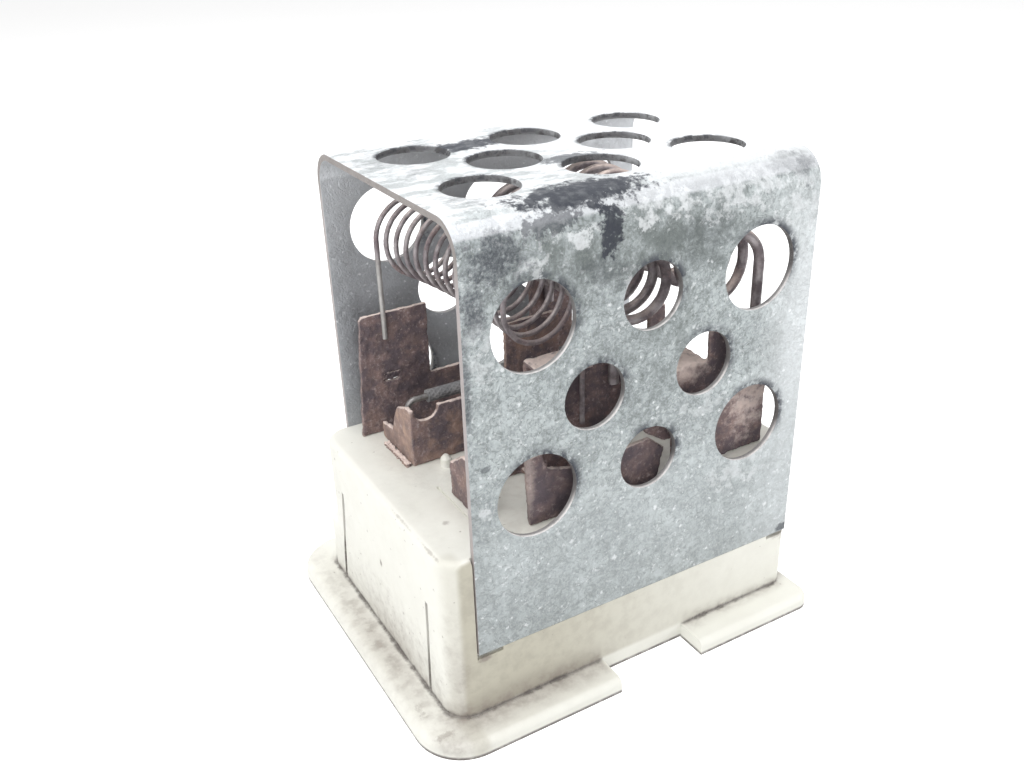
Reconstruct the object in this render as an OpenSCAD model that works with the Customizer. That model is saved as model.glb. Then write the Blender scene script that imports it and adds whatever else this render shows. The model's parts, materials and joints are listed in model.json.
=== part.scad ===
// Blower motor resistor for a car heater: three open wire coils in a perforated steel
// cage, carried by five stamped terminals in a moulded base with a snap-in flange.
// X runs along the long side, the latch end is at -X, and the flange rests on z = 0.

/* [View] */
// Sub-part to show

/* [Cage] */
// Length of the cage along X, open at both ends
cage_length = 60; // [58:0.5:61]
// Depth over the two side walls
cage_depth = 47; // [46:0.5:49]
// Height of the top face above the flange underside
cage_top = 79.2; // [78:0.1:86]
// Thickness of the galvanised sheet
sheet = 1; // [0.8:0.1:1.2]
// Outer radius of the two long bends
bend_radius = 5; // [3:0.5:6]
// Height of the lower edge of the side walls
cage_foot = 13.6; // [12:0.1:16]

/* [Cage holes] */
// Distance from the middle hole to the outer ones in a row of three
hole_pitch = 19.35; // [18.6:0.05:20]
// Diameter of the large holes in the side walls
hole_large = 13; // [11:0.1:14]
// Diameter of the small holes in the side walls
hole_small = 10.1; // [8:0.1:11]
// Diameter of the holes in the top face
hole_top = 11.1; // [9:0.1:12]
// Height of the middle row in the front wall
front_row = 50.6; // [49:0.1:52]
// Rise of the rows in the rear wall over the rows in the front wall
rear_rise = 2; // [0:0.1:3]
// Distance between rows in the side walls
row_pitch = 12.9; // [12.4:0.1:13.5]
// Distance between rows in the top face
top_row_pitch = 10.4; // [10.2:0.1:11]

/* [Base] */
// How far the block stands out past the cage at the latch end
latch_margin = 4.6; // [3.8:0.1:7]
// How far the block stands out past the cage at the plain end
plain_margin = 1; // [0.8:0.1:3]
// Height of the deck that carries the terminals
deck_height = 30.7; // [29:0.1:32]
// Wall thickness of the moulding
wall = 2.2; // [1.8:0.1:2.6]
// Thickness of the deck
deck = 3; // [2.6:0.1:4]
// Flange thickness
flange = 2.6; // [2:0.1:3.5]
// How far the flange stands out at the front and rear
flange_side = 5.5; // [3:0.5:7]
// How far the flange stands out at the latch end
flange_left = 5.4; // [4:0.2:7]
// How far the flange stands out at the plain end
flange_right = 1.5; // [1:0.5:4]
// Corner radius of the flange at the latch end
flange_corner = 8; // [6:0.5:12]
// Width of the notch in each long side of the flange
notch_width = 16; // [10:0.5:18]
// How far the foot of the block stands out behind the rear wall of the cage
rear_step = 3.6; // [2:0.2:5]

/* [Terminals] */
// Thickness of the terminal strip
strip = 0.8; // [0.6:0.1:1]
// Width of the blades
blade_width = 6.3; // [4.8:0.1:6.3]
// Distance between blades
blade_pitch = 8; // [7.6:0.1:9]
// Height of the blade tips above the flange underside
blade_tip = 8; // [6:0.5:12]

/* [Coils] */
// Wire diameter of the fine coil
fine_wire = 0.8; // [0.6:0.05:0.9]
// Wire diameter of the two heavy coils
heavy_wire = 1.6; // [1.2:0.05:1.7]
// Turns of the fine coil, before its last half turn
fine_turns = 13; // [10:1:15]
// Turns of the middle coil, before its last half turn
middle_turns = 10; // [8:1:12]
// Turns of the coarse coil, before its last half turn
coarse_turns = 10; // [8:1:11]

/* [Hidden] */
$fn = 48;
eps = 0.01;
gap = 0.3;
half_l = cage_length / 2;
half_d = cage_depth / 2;
inner_d = half_d - sheet;
block_left = half_l + latch_margin;
block_right = half_l + plain_margin;
deck_under = deck_height - deck;
block_corner = 4;
small_corner = 2.6;
roll = 1.2;
hollow_half = inner_d - wall;
foot_relief = 0.7;
relief_width = 4.4;

// terminal stations along Y, and the blade that each of them feeds
rear_y = inner_d - 4.5;
feed_y = 4.4;
mid_y = 9.5 - inner_d;
tab_y = -hollow_half;
front_y = 0.7 - hollow_half;
post_y = 6.45;
left_x = 4.2 - half_l;
right_x = half_l - 4.4;
blade_x = [for (i = [-2 : 2]) i * blade_pitch];
blade_from = [rear_y, feed_y, mid_y, rear_y, front_y];
neck = 5;
weld_sink = 0.12;
weld_length = 4.5;

// coils: start and end stations come from the faces that their leads are welded to
function on_front(y, wire) = y - strip / 2 - wire / 2 + weld_sink;
function on_back(y, wire) = y + strip / 2 + wire / 2 - weld_sink;
fine_start = on_front(rear_y, fine_wire);
fine_end = on_front(mid_y, fine_wire);
middle_start = on_front(rear_y, heavy_wire);
middle_end = on_front(mid_y, heavy_wire);
coarse_start = on_back(rear_y, heavy_wire);
coarse_end = on_back(front_y, heavy_wire);

// the coils hang under the top of the cage, and the strips end below them
coil_z = cage_top - 14.6;
low_top = coil_z - 12.2;
mid_top = coil_z - 11.2;
rear_top = coil_z - 12.6;
high_top = coil_z - 11.1;
arm_top = deck_height + 18.4 / 22.8 * (high_top - deck_height);
curl = 1.8;
feed_top = deck_height + 10.1;
fuse_wire = 1;
fuse_y = on_back(post_y, fuse_wire);
fuse_z = deck_height + 10.2;
fuse_diameter = 4;
fuse_left = -4;
fuse_right = 7;

module base_block() {
    color("#E4DEC8")
    difference() {
        union() {
            slab(-half_d, half_d, deck_height, block_corner, -block_left, block_right);
            rear_foot();
            flange_plate();
            deck_pegs();
            plain_end_hook();
        }
        hollow();
        cage_pocket(1);
        cage_pocket(-1);
        latch_slits();
        terminal_slots();
    }
    color("#E4DEC8") socket();
    color("#E4DEC8") inner_ribs();
}

// slab with a rolled upper edge: the corners have radius r at -X and a small one at +X
module slab(y0, y1, height, r, x0, x1) {
    for (corner = [[x0 + r, r], [x1 - small_corner, small_corner]]) {
        corner_post(corner[0], y0 + corner[1], height, corner[1]);
        corner_post(corner[0], y1 - corner[1], height, corner[1]);
        translate([corner[0], y1 - corner[1], 0]) rotate([90, 0, 0])
            linear_extrude(y1 - y0 - 2 * corner[1]) rolled_profile(corner[1], height);
    }
    translate([x0 + r, (y0 + y1) / 2, 0]) rotate([90, 0, 90])
        linear_extrude(x1 - small_corner - x0 - r) rolled_profile((y1 - y0) / 2, height);
}

module corner_post(x, y, height, r) {
    translate([x, y, 0]) {
        cylinder(h = height - roll, r = r);
        cylinder(h = height, r = r - roll);
        translate([0, 0, height - roll]) rotate_extrude() translate([r - roll, 0]) circle(roll);
    }
}

module rolled_profile(half, height) {
    translate([-half, 0]) square([2 * half, height - roll]);
    translate([roll - half, 0]) square([2 * (half - roll), height]);
    for (side = [-1, 1]) translate([side * (half - roll), height - roll]) circle(roll);
}

// foot of the block behind the cage, which fills the opening of the duct
module rear_foot() {
    slab(0, half_d + rear_step, cage_foot - 1, block_corner, -block_left, block_right);
}

module flange_plate() {
    difference() {
        slab(-half_d - flange_side, half_d + rear_step + flange_side, flange, flange_corner,
             -block_left - flange_left, block_right + flange_right);
        for (y = [-half_d - flange_side - 1, half_d + rear_step])
            translate([-notch_width / 2, y, -flange]) cube([notch_width, flange_side + 1, 3 * flange]);
    }
}

module hollow() {
    length = block_left + block_right - 2 * wall;
    translate([-block_left + wall, -hollow_half, -1])
        cube([length, 2 * hollow_half, deck_under + 1]);
    translate([-block_left + wall, 0, -1])
        cube([length, hollow_half + rear_step, cage_foot - wall]);
}

// recess for one wall of the cage, with a relief under each of its lower corners
module cage_pocket(side) {
    pocket_w = cage_length + 2 * gap;
    translate([-pocket_w / 2, side > 0 ? inner_d : -half_d - 1, cage_foot])
        cube([pocket_w, sheet + 1, deck_height]);
    for (x = [-half_l - gap, half_l + gap - relief_width])
        translate([x, side > 0 ? inner_d : -half_d - 1, cage_foot - foot_relief])
            cube([relief_width, sheet + 1, foot_relief + 1]);
}

// two slits free the latch tab in the end wall: Y at the foot, Y at the top, height
module latch_slits() {
    half = 0.4;
    foot = flange + half;
    for (slit = [[-15.2, -16.2, 20.4], [19.3, 16.2, 21.9]])
        translate([-block_left - 1, 0, 0]) rotate([90, 0, 90]) linear_extrude(wall + 2)
            polygon([[slit[0] - half, foot], [slit[0] + half, foot],
                     [slit[1] + half, slit[2]], [slit[1] - half, slit[2]]]);
}

module deck_pegs() {
    for (p = [[left_x + 4.3, feed_y - 2.8], [15, 12]])
        translate([p[0], p[1], deck_height - 1]) {
            cylinder(h = 2.4, r = 0.9);
            translate([0, 0, 2.4]) cylinder(h = 0.6, r1 = 0.9, r2 = 0.4);
        }
}

module plain_end_hook() {
    translate([block_right - eps, -8, 8]) rotate([90, 0, 90])
        linear_extrude(1.2 + eps) square([16, 3]);
}

module terminal_slots() {
    for (i = [0 : 4])
        translate([blade_x[i] - neck / 2, blade_from[i] - strip / 2, deck_under - 1])
            cube([neck, strip, deck + 2]);
    translate([left_x - 0.1, -15, deck_height - 0.5]) cube([0.5, 11.6, 1]);
}

// shroud of the plug socket under the deck, keyed on its rear side
module socket() {
    length = 4 * blade_pitch + blade_width + 6;
    depth = 11.2;
    shell = 1.6;
    difference() {
        translate([-length / 2 - shell, -depth / 2 - shell, 0])
            cube([length + 2 * shell, depth + 2 * shell, deck_under]);
        translate([-length / 2, -depth / 2, -1]) cube([length, depth, deck_under + 2]);
        translate([-4, depth / 2 - 1, -1]) cube([8, shell + 2, 13]);
        for (i = [0 : 4])
            translate([blade_x[i] - neck / 2 - gap, min(blade_from[i], 0) - 1,
                       deck_under - strip - gap])
                cube([neck + 2 * gap, abs(blade_from[i]) + 2, strip + gap + 1]);
    }
}

// ribs that tie the shroud to both end walls
module inner_ribs() {
    rib = 1.2;
    for (span = [[wall - block_left, -23], [23, block_right - wall]])
        translate([span[0] - eps, -rib / 2, 4])
            cube([span[1] - span[0] + 2 * eps, rib, deck_under - 4]);
}

module cage() {
    color("#9AA3A3")
    difference() {
        cage_shell();
        wall_holes(-1, front_row);
        wall_holes(1, front_row + rear_rise);
        top_holes();
    }
}

module cage_shell() {
    translate([-half_l, 0, 0]) rotate([90, 0, 90])
        linear_extrude(cage_length)
            difference() {
                arch(half_d, cage_top, bend_radius);
                translate([0, -1]) arch(inner_d, cage_top - sheet + 1, bend_radius - sheet);
            }
}

// arch profile in the YZ plane, with two round upper corners
module arch(half, top, r) {
    translate([-half, cage_foot]) square([2 * half, top - r - cage_foot]);
    translate([r - half, top - r - eps]) square([2 * (half - r), r + eps]);
    for (side = [-1, 1])
        translate([side * (half - r), top - r]) circle(r);
}

// three rows in a side wall: large and small holes, staggered
module wall_holes(side, middle_row) {
    for (row = [-1, 1], i = [-1 : 1])
        wall_hole(side, i * hole_pitch, middle_row + row * row_pitch, i == 0 ? hole_small : hole_large);
    for (i = [-1, 1])
        wall_hole(side, i * hole_pitch / 2, middle_row, hole_small);
}

module wall_hole(side, x, z, diameter) {
    translate([x, side * half_d, z]) rotate([90, 0, 0])
        cylinder(h = 4 * sheet, d = diameter, center = true);
}

module top_holes() {
    for (row = [-1, 1], i = [-1 : 1]) top_hole(i * hole_pitch, row * top_row_pitch);
    for (i = [-1, 1]) top_hole(i * hole_pitch / 2, 0);
}

module top_hole(x, y) {
    translate([x, y, cage_top]) cylinder(h = 4 * sheet, d = hole_top, center = true);
}

// a wall of terminal strip that faces the front, from its outline in X and above the deck
module front_wall(y, points) {
    translate([0, y + strip / 2, deck_height]) rotate([90, 0, 0])
        linear_extrude(strip) polygon(points);
}

// a wall of terminal strip that faces the ends, from its outline in Y and above the deck
module end_wall(x, points) {
    translate([x - strip / 2, 0, deck_height]) rotate([90, 0, 90])
        linear_extrude(strip) polygon(points);
}

module tooth(points) {
    rotate([90, 0, 0]) linear_extrude(strip, center = true) polygon(points);
}

module flat_web(x0, x1, y0, y1, z) {
    translate([x0, y0, z]) cube([x1 - x0, y1 - y0, strip]);
}

// shelf that curls back from a front wall whose outer face is at y
module curled_shelf(x0, x1, y, z, reach) {
    translate([x0, 0, 0]) rotate([90, 0, 90]) linear_extrude(x1 - x0) {
        difference() {
            translate([y + curl, z - curl]) circle(curl);
            translate([y + curl, z - curl]) circle(curl - strip);
            translate([y - 1, z - 2 * curl - 1]) square([2 * curl + 2, curl + 1 - eps]);
            translate([y + curl + eps, z - 2 * curl - 1]) square([curl + 1, 2 * curl + 2]);
        }
        translate([y + curl, z - strip]) square([reach - curl, strip]);
    }
}

// neck through the deck, foot under it, and the blade in the socket
module blade(index) {
    x = blade_x[index];
    y = blade_from[index];
    half = blade_width / 2;
    translate([x - neck / 2, y - strip / 2, deck_under - strip])
        cube([neck, strip, deck + strip + 1]);
    flat_web(x - neck / 2, x + neck / 2, min(y, 0) - strip / 2, max(y, 0) + strip / 2,
             deck_under - strip);
    translate([x, 0, 0])
        tooth([[-half, deck_under - eps], [-half, blade_tip + 1.5], [1 - half, blade_tip],
               [half - 1, blade_tip], [half, blade_tip + 1.5], [half, deck_under - eps]]);
}

// tall rear strip at the latch end: slotted face and a low arm beside it
module terminal_low() {
    top = low_top - deck_height;
    color("#6B4A38") {
        difference() {
            front_wall(rear_y, [[left_x - 3.4, 0], [-7, 0], [-7, 8.9], [-15.8, 8.9], [-15.6, top],
                                [left_x - 1.4, top], [left_x - 2.1, top - 0.7]]);
            translate([left_x + 1.4, rear_y - strip, deck_height + 9.3]) cube([3, 2 * strip, 1.4]);
        }
        blade(0);
    }
}

// folded strip that takes the supply: end wall, notched front wall and an upright
module terminal_feed() {
    side = feed_top - deck_height;
    top = low_top - 0.8 - deck_height;
    color("#7A4A30") {
        end_wall(left_x, [[feed_y - strip / 2, 0], [16, 0], [16, 2.9], [11.6, 3.5], [10.8, 5.9],
                          [9.2, 8.7], [5.5, side], [feed_y - strip / 2, side]]);
        difference() {
            front_wall(feed_y, [[left_x - strip / 2, 0], [2, 0], [2, top - 0.8], [1.2, top],
                                [-7.6, top], [-8.4, top - 0.8], [-8.4, side - 0.4],
                                [left_x - strip / 2, side]]);
            translate([left_x + 2.5, feed_y, feed_top - 0.1]) rotate([90, 0, 0])
                cylinder(h = 2 * strip, r = 2.2, center = true);
        }
        blade(1);
    }
}

// strip between the fine and the middle coil, folded into walls, webs and a shelf
module terminal_mid_low() {
    top = mid_top - deck_height;
    fold_x = left_x + 1.5;
    fold_y = -6.7;
    color("#6B4A38") {
        end_wall(fold_x, [[fold_y - 8.8, 0], [fold_y + strip / 2, 0], [fold_y + strip / 2, 4.3],
                          [fold_y - 0.2, 5.9], [fold_y - 4.3, 8.8], [fold_y - 8.8, 8.8]]);
        front_wall(fold_y, [[fold_x - strip / 2, 0], [-10, 0], [-10, 6.8],
                            [fold_x - strip / 2, 5.9]]);
        flat_web(-12.5, -10, mid_y, fold_y, deck_height);
        front_wall(mid_y, [[-15, 0], [2.6, 0], [2.6, top - 2], [1, top], [-15, top]]);
        flat_web(-15, -7, tab_y + 1.3, mid_y, mid_top - strip);
        flat_web(-14, 1, tab_y, mid_y, deck_height);
        front_wall(tab_y, [[-19.1, 0], [4, 0], [5.1, 5.9], [2.2, 8.2], [-1.2, 8], [-11.6, 7.6],
                           [-15.8, 8.9], [-16.8, 11.6], [-19.6, 11.6]]);
        blade(2);
    }
}

// plain rear upright between the middle and the coarse coil
module terminal_mid_high() {
    top = rear_top - deck_height;
    color("#6B4A38") {
        front_wall(rear_y, [[4.5, 0], [13.5, 0], [13.5, top - 0.8], [12.7, top], [5.3, top],
                            [4.5, top - 0.8]]);
        blade(3);
    }
}

// front strip at the plain end, folded back along the side to the post for the fuse
module terminal_high() {
    top = high_top - deck_height;
    arm = arm_top - curl - deck_height;
    outer = right_x + strip / 2;
    color("#7A4A30") {
        front_wall(front_y, [[7.5, 0], [outer, 0], [outer, top], [13.8, top], [13.8, arm],
                             [2, arm], [2, 8.9], [5.5, 6.4], [7.5, 6.4]]);
        curled_shelf(4.4, 13.4, front_y - strip / 2, arm_top, 6.4);
        end_wall(right_x, [[front_y, 0], [post_y, 0], [post_y, 7.3], [front_y, 7.3]]);
        front_wall(post_y, [[outer - 3.8, 0], [outer, 0], [outer, 15.7], [outer - 3.8, 15.7]]);
        blade(4);
    }
}

// an open coil along Y made of half turns, with a lead down from each end.
// The wire is vertical at the end of every half turn, where a short straight piece joins
// it to the next one. The coil hangs: its centre drifts along X and sinks along Z, and
// its radius runs from r[0] to r[1].
module coil(wire, turns, first, start, end, r, x, z, lead) {
    halves = 2 * turns + 1;
    join = 0.25;
    function centre_x(k) = x[0] + x[1] * k / 2 + x[2] * pow(k / 2, 2);
    function radius(k) = r[0] + (r[1] - r[0]) * k / halves;
    function point(k) = [centre_x(k) + first * (k % 2 == 0 ? 1 : -1) * radius(k),
                         start + (end - start) * k / halves];
    function height(k) = z[0] - z[1] * pow(ceil(k / 2), 2);
    for (k = [0 : halves - 1])
        half_turn(point(k), point(k + 1), height(k), wire, k % 2 == 0 ? 90 : -90);
    for (k = [1 : halves - 1])
        straight(point(k), height(k) - join, height(k - 1) + join, wire);
    straight(point(0), lead[0], height(0) + join, wire);
    straight(point(halves), lead[1], height(halves - 1) + join, wire);
}

module half_turn(a, b, z, wire, tip) {
    middle = (a + b) / 2;
    short = 1;
    translate([middle[0], middle[1], z])
        rotate([0, 0, atan2(b[1] - a[1], b[0] - a[0])]) rotate([tip, 0, 0])
            rotate([0, 0, short]) rotate_extrude(angle = 180 - 2 * short)
                translate([norm(b - a) / 2, 0]) circle(d = wire);
}

module straight(p, from_z, to_z, wire) {
    translate([p[0], p[1], from_z]) cylinder(h = to_z - from_z, d = wire + 0.04);
}

// space of the strip that a lead is welded to: the lead is flattened against it
module weld_face(y) {
    translate([-half_l, y - strip / 2, deck_height]) cube([cage_length, strip, 24]);
}

module coil_fine() {
    color("#6E6660")
    difference() {
        coil(fine_wire, fine_turns, -1, fine_start, fine_end, [6.4, 6.2], [-17.3, 0.7, -0.0202],
             [coil_z, 0.0185], [low_top - weld_length, mid_top - 12.8]);
        weld_face(rear_y);
        weld_face(mid_y);
    }
}

module coil_middle() {
    color("#5E5750")
    difference() {
        coil(heavy_wire, middle_turns, 1, middle_start, middle_end, [6.7, 5.4], [1.4, 0.39, 0],
             [coil_z - 1.4, 0.0295], [rear_top - weld_length, mid_top - 7.2]);
        weld_face(rear_y);
        weld_face(mid_y);
    }
}

module coil_coarse() {
    color("#5E5750")
    difference() {
        coil(heavy_wire, coarse_turns, -1, coarse_start, coarse_end, [6.4, 5.4], [17, 0.13, 0],
             [coil_z - 0.4, 0.021], [rear_top - weld_length, high_top - weld_length]);
        weld_face(rear_y);
        weld_face(front_y);
    }
}

module fuse_body() {
    color("#B8B4A8")
    translate([fuse_left, fuse_y, fuse_z]) rotate([0, 90, 0]) {
        cylinder(h = 0.6, r1 = fuse_diameter / 2 - 0.6, r2 = fuse_diameter / 2);
        translate([0, 0, 0.6]) cylinder(h = fuse_right - fuse_left - 0.6, d = fuse_diameter);
    }
}

module fuse_seal() {
    color("#8C6A3C")
    translate([fuse_right, fuse_y, fuse_z]) rotate([0, 90, 0])
        difference() {
            cylinder(h = 2.2, r1 = fuse_diameter / 2 - 0.3, r2 = fuse_wire / 2 + 0.4);
            translate([0, 0, -1]) cylinder(h = 5, d = fuse_wire);
        }
}

// lead that turns down behind the end wall of the feed terminal
module fuse_lead_left() {
    x_weld = left_x + strip / 2 + fuse_wire / 2 - weld_sink;
    bend = 1.4;
    color("#A9A49A")
    difference() {
        translate([0, fuse_y, 0]) {
            translate([x_weld + bend, 0, fuse_z]) rotate([0, 90, 0])
                cylinder(h = fuse_left - x_weld - bend, d = fuse_wire);
            translate([x_weld + bend, 0, fuse_z - bend]) rotate([90, 0, 0]) rotate([0, 0, 90])
                rotate_extrude(angle = 90) translate([bend, 0]) circle(d = fuse_wire);
            translate([x_weld, 0, fuse_z - 5.9]) cylinder(h = 5.9 - bend, d = fuse_wire);
        }
        translate([left_x - strip / 2, 0, deck_height]) cube([strip, 20, 20]);
    }
}

module fuse_lead_right() {
    color("#A9A49A")
    difference() {
        translate([fuse_right, fuse_y, fuse_z]) rotate([0, 90, 0])
            cylinder(h = right_x - 1 - fuse_right, d = fuse_wire);
        translate([right_x - 6, post_y - strip / 2, deck_height]) cube([10, strip, 20]);
    }
}

module fuse_sleeve() {
    start = left_x + 4.3;
    color("#C9C6BC")
    translate([start, fuse_y, fuse_z]) rotate([0, 90, 0])
        difference() {
            cylinder(h = fuse_left - 2 - start, d = 2.1);
            translate([0, 0, -1]) cylinder(h = 40, d = fuse_wire);
        }
}

base_block();
cage();
terminal_low();
terminal_feed();
terminal_mid_low();
terminal_mid_high();
terminal_high();
coil_fine();
coil_middle();
coil_coarse();
fuse_body();
fuse_seal();
fuse_lead_left();
fuse_lead_right();
fuse_sleeve();
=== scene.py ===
import json
import math

import bpy
from mathutils import Euler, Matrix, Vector

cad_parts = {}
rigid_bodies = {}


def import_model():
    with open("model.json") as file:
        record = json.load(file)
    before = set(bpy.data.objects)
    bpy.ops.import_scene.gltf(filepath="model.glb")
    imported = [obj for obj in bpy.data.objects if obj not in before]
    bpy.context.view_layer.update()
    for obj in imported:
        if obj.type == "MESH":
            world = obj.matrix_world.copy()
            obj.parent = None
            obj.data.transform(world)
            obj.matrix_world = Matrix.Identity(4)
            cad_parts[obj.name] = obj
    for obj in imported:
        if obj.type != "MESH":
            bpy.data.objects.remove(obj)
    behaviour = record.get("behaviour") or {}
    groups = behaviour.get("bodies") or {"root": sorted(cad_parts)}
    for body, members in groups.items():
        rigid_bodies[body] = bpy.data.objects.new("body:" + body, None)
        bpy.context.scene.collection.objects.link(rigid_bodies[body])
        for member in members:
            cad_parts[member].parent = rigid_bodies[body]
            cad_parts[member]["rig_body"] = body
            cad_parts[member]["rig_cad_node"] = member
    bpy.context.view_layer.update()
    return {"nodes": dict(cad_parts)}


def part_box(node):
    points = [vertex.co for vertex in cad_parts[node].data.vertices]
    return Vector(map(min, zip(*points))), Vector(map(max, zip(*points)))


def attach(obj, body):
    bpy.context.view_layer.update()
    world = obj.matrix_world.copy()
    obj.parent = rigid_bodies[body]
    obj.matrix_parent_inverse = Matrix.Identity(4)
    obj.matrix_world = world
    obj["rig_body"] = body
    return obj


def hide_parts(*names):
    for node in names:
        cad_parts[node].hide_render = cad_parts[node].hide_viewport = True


# Blower motor resistor: dresses the CAD frame with worn zinc, aged plastic, rust and wire

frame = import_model()
nodes = frame["nodes"]
mm = 0.001
print("frame loaded:", len(nodes), "nodes")


def inMetres(values):
    return tuple(v * mm for v in values)


def makeGroup(name, inputs, outputs):
    group = bpy.data.node_groups.new(name, "ShaderNodeTree")
    for label, kind, value in inputs:
        socket = group.interface.new_socket(name=label, in_out="INPUT", socket_type="NodeSocket" + kind)
        socket.default_value = value
    for label, kind in outputs:
        group.interface.new_socket(name=label, in_out="OUTPUT", socket_type="NodeSocket" + kind)
    return group, group.nodes.new("NodeGroupInput").outputs, group.nodes.new("NodeGroupOutput").inputs


def feed(tree, value, socket):
    # a number, a vector or a colour is set on the socket, and an output is linked to it
    if hasattr(value, "is_output"):
        tree.links.new(value, socket)
    elif isinstance(value, tuple) and len(value) == 3 and socket.type == "RGBA":
        socket.default_value = (*value, 1)
    else:
        socket.default_value = value


def add(tree, kind, **settings):
    node = tree.nodes.new("ShaderNode" + kind)
    for key, value in settings.items():
        if hasattr(node, key):
            setattr(node, key, value)
        else:
            feed(tree, value, node.inputs[key.replace("_", " ")])
    return node


def calc(tree, operation, *values):
    node = add(tree, "Math", operation=operation)
    for value, socket in zip(values, node.inputs):
        feed(tree, value, socket)
    return node.outputs[0]


def product(tree, *values):
    result = values[0]
    for value in values[1:]:
        result = calc(tree, "MULTIPLY", result, value)
    return result


def vectorCalc(tree, operation, *values):
    node = add(tree, "VectorMath", operation=operation)
    for value, socket in zip(values, node.inputs):
        feed(tree, value, socket)
    return node.outputs[1 if operation in ("LENGTH", "DOT_PRODUCT") else 0]


def ramp(tree, *values):
    # value, low, high and, where they aren't 0 and 1, the results there
    node = add(tree, "MapRange", interpolation_type="SMOOTHSTEP")
    for value, socket in zip(values, node.inputs):
        feed(tree, value, socket)
    return node.outputs[0]


def fade(tree, value, span):
    # a ramp over a stretch of the object, given in millimetres
    low, high, *results = span
    return ramp(tree, value, low * mm, high * mm, *results)


def vary(tree, mask, results):
    # from the first result where the mask is 0 to the second where it is 1
    return ramp(tree, mask, 0.0, 1.0, *results)


def strongest(tree, *masks):
    result = masks[0]
    for mask in masks[1:]:
        result = calc(tree, "MAXIMUM", result, mask)
    return result


def blend(tree, mask, under, over):
    node = add(tree, "Mix", data_type="RGBA")
    for value, socket in ((mask, node.inputs[0]), (under, node.inputs[6]), (over, node.inputs[7])):
        feed(tree, value, socket)
    return node.outputs[2]


def layer(tree, color, over, *masks):
    # lays a colour over the one below, as far as the masks and strengths let it
    return blend(tree, product(tree, *masks), color, over)


def use(tree, group, **values):
    node = tree.nodes.new("ShaderNodeGroup")
    node.node_tree = group
    for key, value in values.items():
        feed(tree, value, node.inputs[key[0].upper() + key[1:]])
    return node.outputs


def objectPlace(tree):
    return add(tree, "TexCoord").outputs["Object"]


def splitAxes(tree, vector):
    split = add(tree, "SeparateXYZ", Vector=vector)
    return split.outputs[0], split.outputs[1], split.outputs[2]


patchRoughness = 0.62


def makePatches():
    # soft patches of cloud noise, stretched and thresholded
    group, given, out = makeGroup("patches", [
        ("Scale", "Float", 200.0), ("Low", "Float", 0.45), ("High", "Float", 0.6),
        ("Detail", "Float", 5.0), ("Stretch", "Vector", (1, 1, 1)), ("Shift", "Vector", (0, 0, 0))],
        [("Mask", "Float")])
    stretched = vectorCalc(group, "MULTIPLY", objectPlace(group), given["Stretch"])
    shifted = vectorCalc(group, "ADD", stretched, given["Shift"])
    noise = add(group, "TexNoise", Vector=shifted, Scale=given["Scale"], Detail=given["Detail"],
                Roughness=patchRoughness)
    feed(group, ramp(group, noise.outputs["Fac"], given["Low"], given["High"]), out["Mask"])
    return group


speckShape = {
    "wobbleScale": 2400.0, "wobbleDetail": 2.0, "wobble": 0.7 * mm,
    "smallest": 0.4, "core": 0.4,
}


def makeSpecks():
    # small ragged spots: a share of the cells holds one, and their sizes differ
    group, given, out = makeGroup("specks", [
        ("Scale", "Float", 900.0), ("Size", "Float", 0.3), ("Share", "Float", 0.3)], [("Mask", "Float")])
    place = objectPlace(group)
    wobble = add(group, "TexNoise", Vector=place, Scale=speckShape["wobbleScale"],
                 Detail=speckShape["wobbleDetail"])
    push = add(group, "VectorMath", operation="SCALE", Vector=wobble.outputs["Color"],
               Scale=speckShape["wobble"])
    pushed = vectorCalc(group, "ADD", place, push.outputs[0])
    cells = add(group, "TexVoronoi", Vector=pushed, Scale=given["Scale"])
    pick = add(group, "SeparateColor", Color=cells.outputs["Color"])
    chosen = calc(group, "LESS_THAN", pick.outputs[0], given["Share"])
    larger = calc(group, "ADD", pick.outputs[1], speckShape["smallest"])
    reach = product(group, given["Size"], larger)
    spot = ramp(group, cells.outputs["Distance"], reach, product(group, reach, speckShape["core"]))
    feed(group, product(group, spot, chosen), out["Mask"])
    return group


stainRim = 1.15


def makeStain():
    # one stain round a point of the object: the noise fed in makes its rim ragged
    group, given, out = makeGroup("stain", [
        ("Centre", "Vector", (0, 0, 0)), ("Reach", "Vector", (0.005, 0.005, 0.005)),
        ("Noise", "Float", 0.5), ("Ragged", "Float", 2.0), ("Inner", "Float", 0.7)],
        [("Mask", "Float")])
    offset = vectorCalc(group, "SUBTRACT", objectPlace(group), given["Centre"])
    far = vectorCalc(group, "LENGTH", vectorCalc(group, "DIVIDE", offset, given["Reach"]))
    ragged = product(group, calc(group, "SUBTRACT", given["Noise"], 0.5), given["Ragged"])
    mask = ramp(group, calc(group, "ADD", far, ragged), stainRim, given["Inner"])
    feed(group, mask, out["Mask"])
    return group


rimShape = {"away": -0.2, "towards": 0.75}


def makeRim():
    # dirt round a hole, on the side that is given: Flat drops the axis of the hole
    group, given, out = makeGroup("holeRim", [
        ("Centre", "Vector", (0, 0, 0)), ("Flat", "Vector", (1, 0, 1)), ("Side", "Vector", (1, 0, 0)),
        ("Radius", "Float", 0.005), ("Reach", "Float", 0.001)], [("Mask", "Float")])
    offset = vectorCalc(group, "SUBTRACT", objectPlace(group), given["Centre"])
    flat = vectorCalc(group, "MULTIPLY", offset, given["Flat"])
    beyond = calc(group, "SUBTRACT", vectorCalc(group, "LENGTH", flat), given["Radius"])
    facing = vectorCalc(group, "DOT_PRODUCT", vectorCalc(group, "NORMALIZE", flat), given["Side"])
    near = ramp(group, beyond, given["Reach"], 0.0)
    sided = ramp(group, facing, rimShape["away"], rimShape["towards"])
    feed(group, product(group, near, sided), out["Mask"])
    return group


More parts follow.
